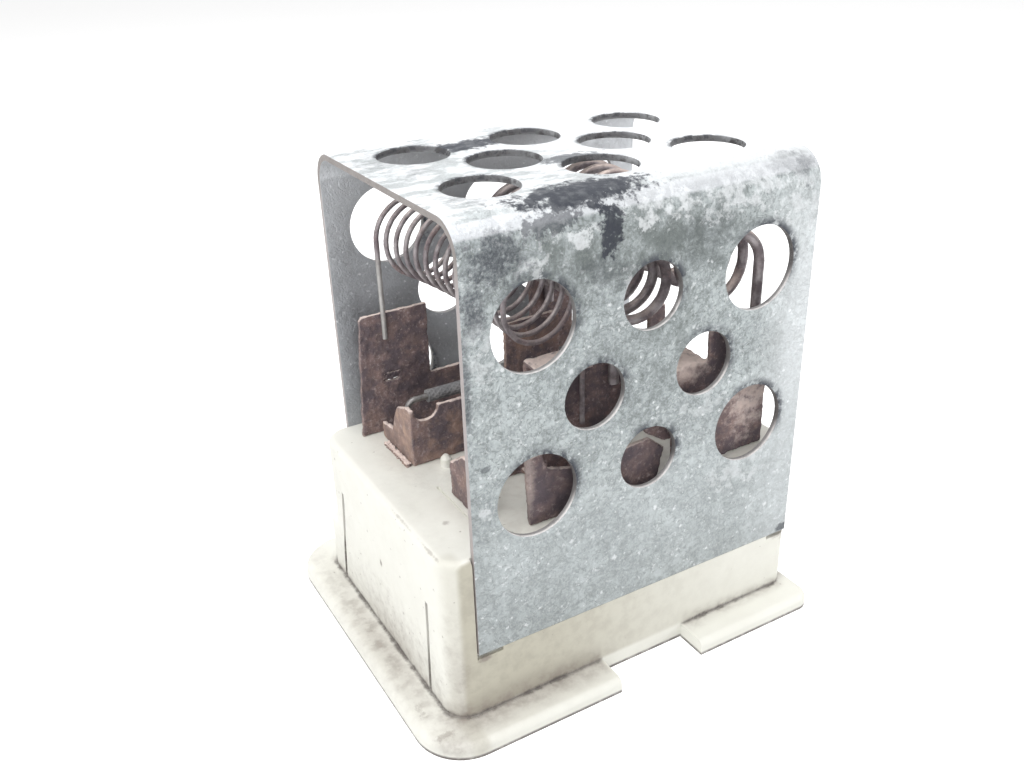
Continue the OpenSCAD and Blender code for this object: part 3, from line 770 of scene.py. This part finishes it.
def makeRust(name, scale, warm, dusty):
    material, tree, shader = startMaterial(name)
    geometry = add(tree, "NewGeometry")
    facing = splitAxes(tree, geometry.outputs["Normal"])
    noise = cloudNoise(tree, **rust["ragged"])
    coat = rustCoat(tree, scale)
    bright = patch(tree, rust["bright"])
    color = layer(tree, coat["Color"], rust["warm"], bright, warm)
    # painted light: faces that turn to the left are painted lighter and warmer
    color = layer(tree, color, rust["leftFacingLight"], ramp(tree, facing[0], *rust["facingLeft"]),
                  vary(tree, bright, rust["endsVaried"]), warm)
    color = blend(tree, stainAll(tree, noise, rust["ashen"], rust["solid"]), color, rust["dust"])
    settled = product(tree, ramp(tree, facing[2], *rust["facingUp"]), dusty, patch(tree, rust["drift"]))
    # pale sharp edges: wear, and a painted highlight along them
    worn = product(tree, ramp(tree, geometry.outputs["Pointiness"], *rust["sharp"]), rust["edgeWearAndHighlight"])
    color = blend(tree, strongest(tree, settled, worn), color, rust["dust"])
    # painted shade at the listed places inside the cage
    color = blend(tree, stainAll(tree, noise, rust["gloomy"], rust["solid"]), color, rust["gloom"])
    finishMaterial(tree, shader, color, coat["Roughness"], coat["Height"], rust["bump"])
    return material


wire = {
    "bare": (0.36, 0.33, 0.335),
    "dull": (0.19, 0.16, 0.17),
    "leadHighlight": (0.46, 0.465, 0.44),
    "cloud": {"scale": 380.0, "low": 0.35, "high": 0.65, "detail": 7.0},
    "spots": {"scale": 300.0, "low": 0.5, "high": 0.64, "shift": (0.1, 0.5, 0.2)},
    "rustScale": 500.0,
    "rusty": 0.75,
    "leadEnd": (-23, -24),  # the long lead, in millimetres
    "leadTop": (63, 60),
    "leadHighlightShare": 0.6,
    "facingUp": (0.2, 0.8),
    "dusty": (0.6, 1.0),
    "roughness": (0.66, 0.48),
    "metal": 0.6,
    "dulled": 0.5,
    "bump": {"strength": 0.4, "depth": 0.14 * mm},
}


def makeWire(name, dusty):
    material, tree, shader = startMaterial(name)
    place = splitAxes(tree, objectPlace(tree))
    cloud, spots = patch(tree, wire["cloud"]), patch(tree, wire["spots"])
    coat = rustCoat(tree, wire["rustScale"])
    color = blend(tree, cloud, wire["dull"], wire["bare"])
    color = layer(tree, color, coat["Color"], spots, wire["rusty"])
    # the long lead at the latch end is painted paler: a painted highlight along it
    lead = product(tree, fade(tree, place[0], wire["leadEnd"]), fade(tree, place[2], wire["leadTop"]))
    color = layer(tree, color, wire["leadHighlight"], lead, wire["leadHighlightShare"])
    upward = splitAxes(tree, add(tree, "NewGeometry").outputs["Normal"])[2]
    color = layer(tree, color, rust["dust"], ramp(tree, upward, *wire["facingUp"]),
                  vary(tree, cloud, wire["dusty"]), dusty)
    metallic = calc(tree, "SUBTRACT", wire["metal"], product(tree, spots, wire["dulled"]))
    roughness = vary(tree, cloud, wire["roughness"])
    finishMaterial(tree, shader, color, roughness, coat["Height"], wire["bump"], metallic)
    return material


tin = {
    "dull": (0.16, 0.15, 0.15),
    "bright": (0.32, 0.31, 0.30),
    "stain": (0.2, 0.13, 0.09),
    "cloud": {"scale": 520.0, "low": 0.35, "high": 0.65},
    "spots": {"scale": 900.0, "size": 0.3, "share": 0.25},
    "stained": 0.6,
    "metal": 0.8,
    "dulled": 0.6,
    "roughness": (0.55, 0.4),
    "bump": {"strength": 0.2, "depth": 0.08 * mm},
}


def makeTin():
    material, tree, shader = startMaterial("dullTin")
    cloud, spots = patch(tree, tin["cloud"]), speckle(tree, tin["spots"])
    color = blend(tree, cloud, tin["dull"], tin["bright"])
    color = layer(tree, color, tin["stain"], spots, tin["stained"])
    roughness = vary(tree, cloud, tin["roughness"])
    metallic = calc(tree, "SUBTRACT", tin["metal"], product(tree, spots, tin["dulled"]))
    finishMaterial(tree, shader, color, roughness, cloud, tin["bump"], metallic)
    return material


resin = {
    "deep": (0.19, 0.11, 0.05),
    "light": (0.32, 0.21, 0.11),
    "dust": (0.45, 0.38, 0.3),
    "cloud": {"scale": 700.0, "low": 0.35, "high": 0.65},
    "specks": {"scale": 1100.0, "size": 0.35, "share": 0.3},
    "dusty": 0.5,
    "roughness": (0.3, 0.5),
    "bump": {"strength": 0.25, "depth": 0.1 * mm},
}


def makeResin():
    material, tree, shader = startMaterial("brownResin", IOR=1.55)
    cloud = patch(tree, resin["cloud"])
    color = blend(tree, cloud, resin["deep"], resin["light"])
    color = layer(tree, color, resin["dust"], speckle(tree, resin["specks"]), resin["dusty"])
    finishMaterial(tree, shader, color, vary(tree, cloud, resin["roughness"]), cloud, resin["bump"])
    return material


sleeve = {
    "grey": (0.17, 0.17, 0.175),
    "light": (0.27, 0.265, 0.265),
    "gapShade": (0.11, 0.105, 0.105),
    "cloud": {"scale": 300.0, "low": 0.35, "high": 0.65},
    "braidLength": 1.1 * mm,
    "strands": 8.0,
    "gapDepth": (-0.4, 0.8, 0.35, 0.0),
    "roughness": (0.8, 0.9),
    "bump": {"strength": 0.5, "depth": 0.12 * mm},
}


def makeSleeve():
    # braided glass: two sets of fine ridges that cross round the tube, with painted shade in the gaps
    # between them
    material, tree, shader = startMaterial("glassBraid")
    x, y, z = splitAxes(tree, objectPlace(tree))
    low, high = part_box("fuse_sleeve")
    turn = calc(tree, "ARCTAN2", calc(tree, "SUBTRACT", z, (low.z + high.z) / 2),
                calc(tree, "SUBTRACT", y, (low.y + high.y) / 2))
    along = product(tree, x, 2 * math.pi / sleeve["braidLength"])
    ridges = []
    for strands in (sleeve["strands"], -sleeve["strands"]):
        ridges.append(calc(tree, "SINE", calc(tree, "ADD", along, product(tree, turn, strands))))
    braid = strongest(tree, *ridges)
    cloud = patch(tree, sleeve["cloud"])
    color = blend(tree, cloud, sleeve["grey"], sleeve["light"])
    color = blend(tree, ramp(tree, braid, *sleeve["gapDepth"]), color, sleeve["gapShade"])
    finishMaterial(tree, shader, color, vary(tree, cloud, sleeve["roughness"]), braid, sleeve["bump"])
    return material


zincFinish, plasticFinish = makeZinc(), makePlastic()
rustFinish = makeRust("rustyStrip", scale=330.0, warm=0.3, dusty=1.0)
warmRust = makeRust("rustyFold", scale=300.0, warm=0.85, dusty=0.9)
fineWire, heavyWire = makeWire("fineWire", dusty=0.35), makeWire("heavyWire", dusty=0.85)
tinFinish, resinFinish, sleeveFinish = makeTin(), makeResin(), makeSleeve()
print("materials ready:", len(bpy.data.materials))

merging = {"near": 0.002 * mm, "flat": math.radians(0.6)}
smoothing = {"plain": 32, "rough": 60}


def deselectAll():
    for item in bpy.context.view_layer.objects:
        item.select_set(False)


def workingCopy(nodeName, pieceName, flatten=True):
    # merged copy of a CAD node, with its flat faces joined up again
    deselectAll()
    source = nodes[nodeName]
    source.select_set(True)
    bpy.context.view_layer.objects.active = source
    bpy.ops.object.duplicate()
    piece = bpy.context.view_layer.objects.active
    piece.name = pieceName
    piece.data.name = pieceName
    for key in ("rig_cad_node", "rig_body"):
        if key in piece:
            del piece[key]
    piece.parent = None
    if piece.data.has_custom_normals:
        bpy.ops.mesh.customdata_custom_splitnormals_clear()
    bpy.ops.object.mode_set(mode="EDIT")
    bpy.ops.mesh.select_all(action="SELECT")
    bpy.ops.mesh.remove_doubles(threshold=merging["near"])
    if flatten:
        bpy.ops.mesh.dissolve_limited(angle_limit=merging["flat"])
    bpy.ops.object.mode_set(mode="OBJECT")
    return piece


def applyModifier(piece, kind, **settings):
    bpy.context.view_layer.objects.active = piece
    modifier = piece.modifiers.new(kind.lower(), kind)
    for key, value in settings.items():
        setattr(modifier, key, value)
    bpy.ops.object.modifier_apply(modifier=modifier.name)


def dress(piece, material, nodeName=None, slot=None, smooth="plain"):
    piece.data.materials.clear()
    piece.data.materials.append(material)
    deselectAll()
    piece.select_set(True)
    bpy.context.view_layer.objects.active = piece
    if slot:
        bpy.ops.object.shade_smooth_by_angle(angle=math.radians(smoothing[smooth]))
        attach(piece, "root")
    if nodeName:
        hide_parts(nodeName)


def makeLumps(name, size):
    lumps = bpy.data.textures.new(name, "CLOUDS")
    lumps.noise_scale = size
    lumps.noise_depth = 3
    return lumps


def roundEdges(piece, edges):
    applyModifier(piece, "BEVEL", width=edges["edge"], segments=edges["segments"], limit_method="ANGLE",
                  angle_limit=math.radians(edges["corner"]))


def swellBy(piece, lumps, strength, level=0.5):
    applyModifier(piece, "DISPLACE", texture=lumps, texture_coords="LOCAL", strength=strength,
                  mid_level=level)


def tellFaces(piece):
    print(piece.name, "has", len(piece.data.polygons), "faces")


cageSheet = {"edge": 0.14 * mm, "segments": 2, "corner": 45}
piece = workingCopy("cage", "cage_sheet")
roundEdges(piece, cageSheet)
dress(piece, zincFinish, "cage", "galvanised_sheet")

moulding = {"edge": 0.3 * mm, "segments": 3, "corner": 40}
piece = workingCopy("base_block", "moulded_base")
roundEdges(piece, moulding)
dress(piece, plasticFinish, "base_block", "ivory_plastic")

strips = {
    "terminal_low": rustFinish, "terminal_mid_low": rustFinish, "terminal_mid_high": rustFinish,
    "terminal_high": rustFinish, "terminal_feed": warmRust,
}
crust = {
    "cell": 0.26 * mm,
    "swell": 0.4 * mm, "lumps": makeLumps("rustLumps", 1.6 * mm), "level": 0.52,
    "grit": 0.2 * mm, "gritLumps": makeLumps("rustGrit", 0.45 * mm),
}
for nodeName, finish in strips.items():
    piece = workingCopy(nodeName, nodeName.replace("terminal", "rusty"))
    applyModifier(piece, "REMESH", mode="VOXEL", voxel_size=crust["cell"])
    swellBy(piece, crust["lumps"], crust["swell"], crust["level"])
    swellBy(piece, crust["gritLumps"], crust["grit"])
    dress(piece, finish, nodeName, "rusty_strip", "rough")
    tellFaces(piece)

# rust that has grown in the tall strip's slot and crumbs of it along the folded strip's foot
growthMesh = {"cell": 0.1 * mm, "grit": 0.7 * mm}
growths = {  # middle and half sizes in millimetres
    "slot_crust": {"middle": (-22.9, 17.9, 40.85), "half": (1.75, 0.3, 0.62), "finish": rustFinish},
    "foot_crumbs": {"middle": (-26.8, 8.8, 30.95), "half": (0.45, 4.4, 0.3), "finish": warmRust},
}
for pieceName, growth in growths.items():
    deselectAll()
    bpy.ops.mesh.primitive_cube_add(size=2, location=inMetres(growth["middle"]),
                                    scale=inMetres(growth["half"]))
    piece = bpy.context.object
    bpy.ops.object.transform_apply(location=True, rotation=True, scale=True)
    piece.name = pieceName
    piece.data.name = pieceName
    applyModifier(piece, "REMESH", mode="VOXEL", voxel_size=growthMesh["cell"])
    swellBy(piece, crust["gritLumps"], growthMesh["grit"])
    dress(piece, growth["finish"], slot="rusty_strip", smooth="rough")
    tellFaces(piece)

scaled = {
    "coil_fine": {"swell": 0.10 * mm, "finish": fineWire},
    "coil_middle": {"swell": 0.12 * mm, "finish": fineWire},
    "coil_coarse": {"swell": 0.12 * mm, "finish": heavyWire},
}
wireLumps = makeLumps("wireLumps", 0.9 * mm)
for nodeName, coil in scaled.items():
    piece = workingCopy(nodeName, nodeName.replace("coil", "wire"), flatten=False)
    swellBy(piece, wireLumps, coil["swell"])
    dress(piece, coil["finish"], nodeName, "resistance_wire", "rough")
    tellFaces(piece)

fuse = {
    "fuse_body": tinFinish, "fuse_seal": resinFinish, "fuse_lead_left": tinFinish,
    "fuse_lead_right": tinFinish, "fuse_sleeve": sleeveFinish,
}
for nodeName, finish in fuse.items():
    dress(nodes[nodeName], finish)

floorPlane = {
    "size": 6, "height": -0.05 * mm,
    "color": (0.86, 0.86, 0.86, 1), "roughness": 0.9, "glow": 0.5,
}
lamps = {
    "sky": 0.42,
    "aim": (0, 0, 0.035),
    "areas": {
        "window": {"place": (-0.35, -0.10, 0.50), "size": 0.4, "power": 2.3},
        "ceiling": {"place": (0.05, 0.12, 0.60), "size": 0.5, "power": 2.0},
        "side": {"place": (0.20, -0.20, 0.10), "size": 0.15, "power": 0.25},
        "front": {"place": (-0.20, -0.34, 0.24), "size": 0.25, "power": 0.32},
    },
}


def makeFloor():
    material, tree, shader = startMaterial("paleFloor", Base_Color=floorPlane["color"],
                                           Roughness=floorPlane["roughness"])
    feed(tree, product(tree, seenPlain(tree), floorPlane["glow"]), shader.inputs["Emission Strength"])
    shader.inputs["Emission Color"].default_value = (1, 1, 1, 1)
    # seen from below the floor is clear, so that the underside shows
    hidden = add(tree, "NewGeometry").outputs["Backfacing"]
    feed(tree, calc(tree, "SUBTRACT", 1.0, hidden), shader.inputs["Alpha"])
    bpy.ops.mesh.primitive_plane_add(size=floorPlane["size"], location=(0, 0, floorPlane["height"]))
    floor = bpy.context.object
    floor.name = "floor"
    floor.data.materials.append(material)


def seenPlain(tree):
    # 1 where the camera, a reflection or a see-through surface looks at it
    path = add(tree, "LightPath").outputs
    return strongest(tree, path["Is Camera Ray"], path["Is Glossy Ray"], path["Is Transmission Ray"])


def makeSky():
    world = bpy.data.worlds.new("studio")
    bpy.context.scene.world = world
    world.use_nodes = True
    tree = world.node_tree
    sky = tree.nodes["Background"]
    sky.inputs[0].default_value = (1, 1, 1, 1)
    feed(tree, vary(tree, seenPlain(tree), (lamps["sky"], 1.0)), sky.inputs[1])


def makeLamps():
    for name, area in lamps["areas"].items():
        data = bpy.data.lights.new(name, "AREA")
        data.size = area["size"]
        data.energy = area["power"]
        lamp = bpy.data.objects.new(name, data)
        lamp.location = area["place"]
        aim = Vector(lamps["aim"]) - lamp.location
        lamp.rotation_euler = aim.to_track_quat("-Z", "Y").to_euler()
        bpy.context.scene.collection.objects.link(lamp)


view = {
    "place": (-0.081608, -0.127521, 0.116163),
    "azimuth": -29.423, "elevation": 26.611, "roll": -1.930,
    "sensor": 36, "lens": 35.853, "near": 0.005, "far": 20,
}


def makeCamera():
    data = bpy.data.cameras.new("camera")
    data.sensor_width = view["sensor"]
    data.lens = view["lens"]
    data.clip_start = view["near"]
    data.clip_end = view["far"]
    camera = bpy.data.objects.new("camera", data)
    camera.location = view["place"]
    turn = Euler((math.radians(90 - view["elevation"]), 0, math.radians(view["azimuth"])))
    turn.rotate_axis("Z", math.radians(view["roll"]))
    camera.rotation_euler = turn
    bpy.context.scene.collection.objects.link(camera)
    bpy.context.scene.camera = camera


makeFloor()
makeSky()
makeLamps()
makeCamera()
bpy.context.scene.view_settings.view_transform = "Standard"
print("stage, lamps and camera set")
